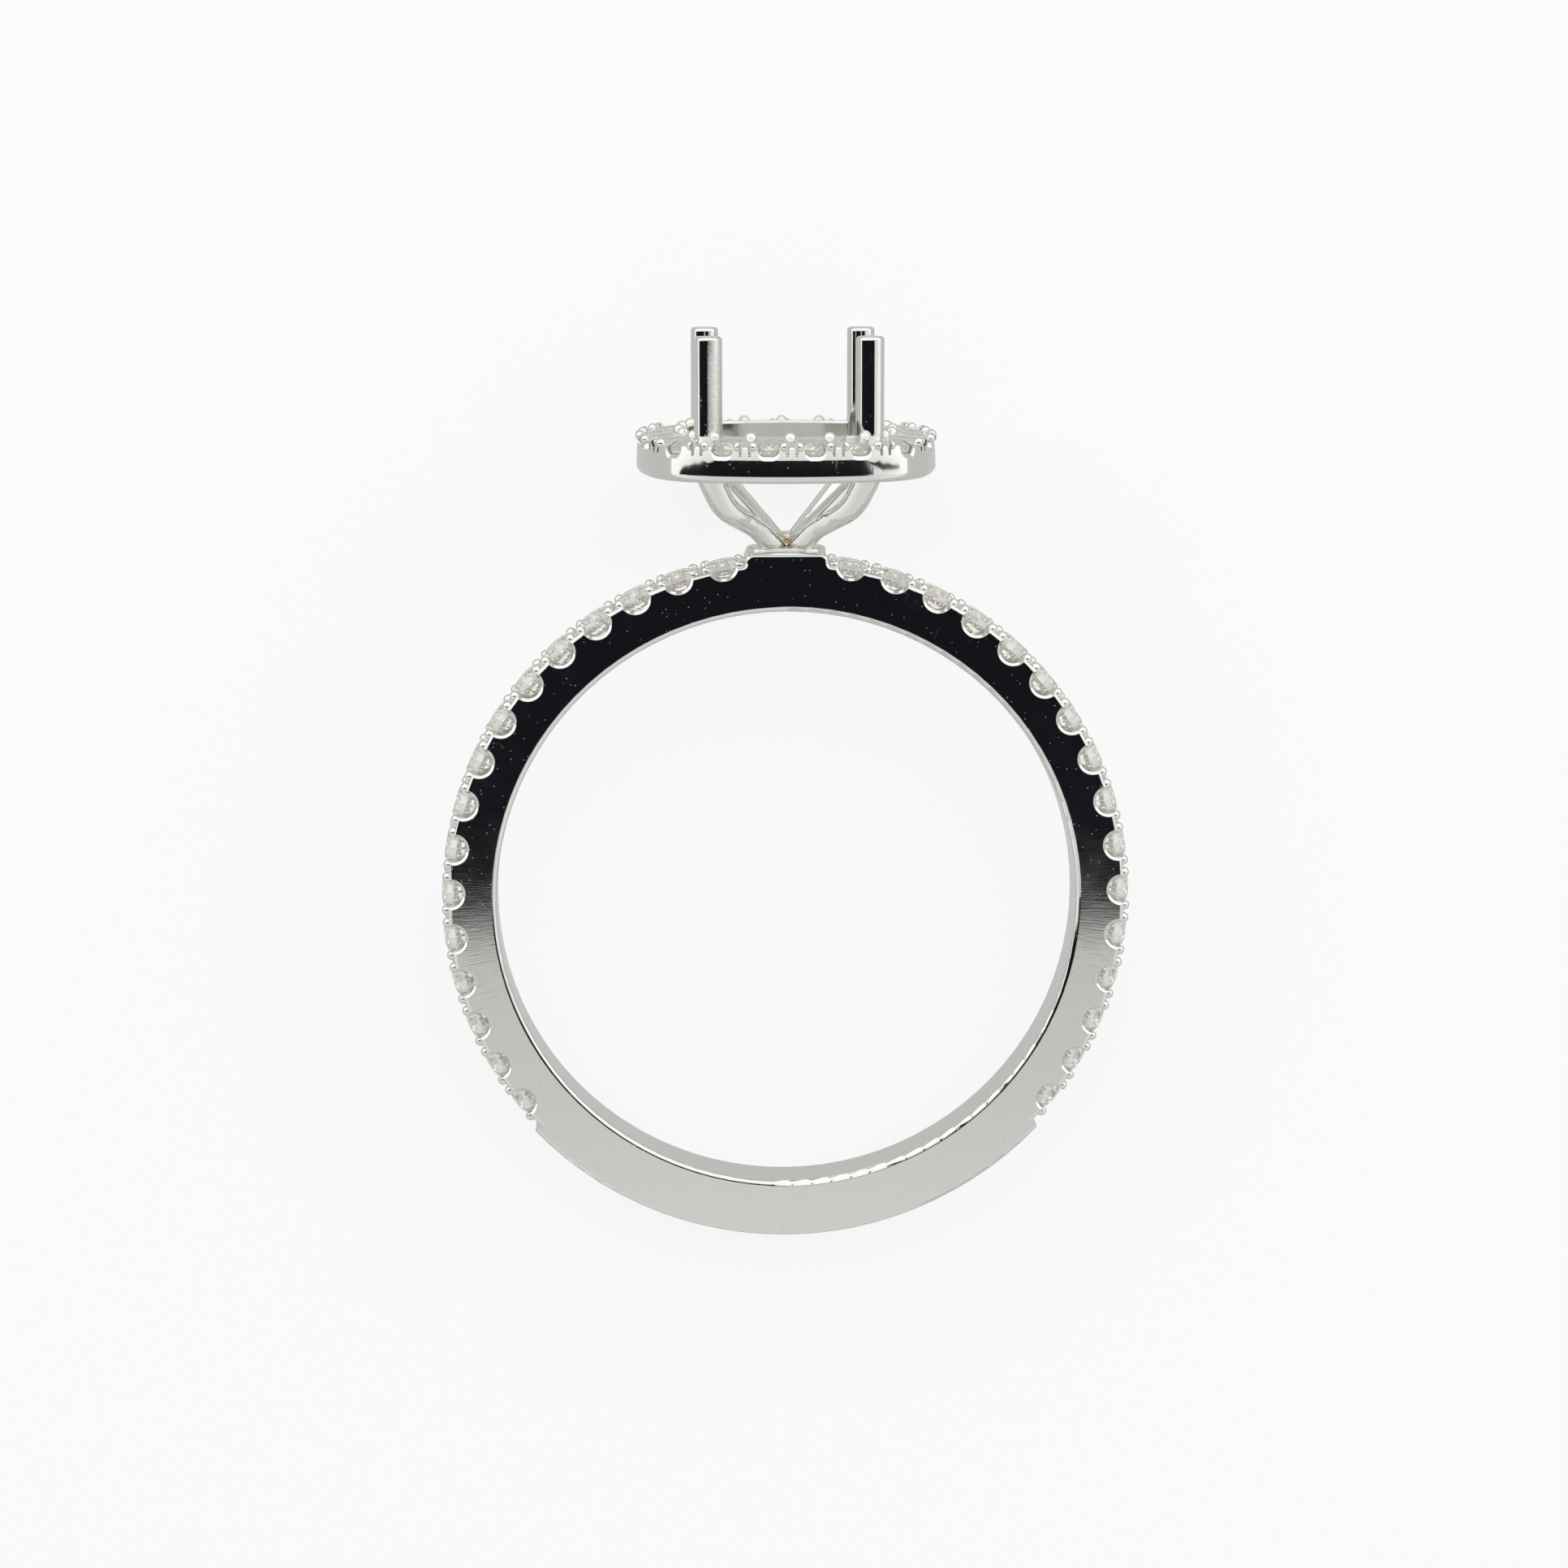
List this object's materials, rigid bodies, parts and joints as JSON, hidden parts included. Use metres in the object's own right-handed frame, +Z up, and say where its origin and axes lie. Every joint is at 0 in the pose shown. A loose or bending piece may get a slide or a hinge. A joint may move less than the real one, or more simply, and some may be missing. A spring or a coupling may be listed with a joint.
{
  "type": "semi mount ring setting",
  "caption": "Finger ring setting with bead-set stones on both shoulders and a cushion-shaped halo; its four prong wires stand open for a round centre stone.",
  "frame": {"origin": "bottom centre of the whole ring's box as it lies on its back side", "axes": "+Y from the plain bottom of the shank to the head, +Z up through the finger hole, +X to the right shoulder"},
  "size_m": [0.0202, 0.0268, 0.0087],
  "materials": {
    "white_gold": "polished",
    "diamond": "polished"
  },
  "bodies": {
    "root": {"mounting": "white_gold", "halo_stones": "diamond", "shank_stone_left_01": "diamond", "shank_stone_left_02": "diamond", "shank_stone_left_03": "diamond", "shank_stone_left_04": "diamond", "shank_stone_left_05": "diamond", "shank_stone_left_06": "diamond", "shank_stone_left_07": "diamond", "shank_stone_left_08": "diamond", "shank_stone_left_09": "diamond", "shank_stone_left_10": "diamond", "shank_stone_left_11": "diamond", "shank_stone_left_12": "diamond", "shank_stone_left_13": "diamond", "shank_stone_left_14": "diamond", "shank_stone_left_15": "diamond", "shank_stone_left_16": "diamond", "shank_stone_right_01": "diamond", "shank_stone_right_02": "diamond", "shank_stone_right_03": "diamond", "shank_stone_right_04": "diamond", "shank_stone_right_05": "diamond", "shank_stone_right_06": "diamond", "shank_stone_right_07": "diamond", "shank_stone_right_08": "diamond", "shank_stone_right_09": "diamond", "shank_stone_right_10": "diamond", "shank_stone_right_11": "diamond", "shank_stone_right_12": "diamond", "shank_stone_right_13": "diamond", "shank_stone_right_14": "diamond", "shank_stone_right_15": "diamond", "shank_stone_right_16": "diamond"}
  },
  "joints": []
}
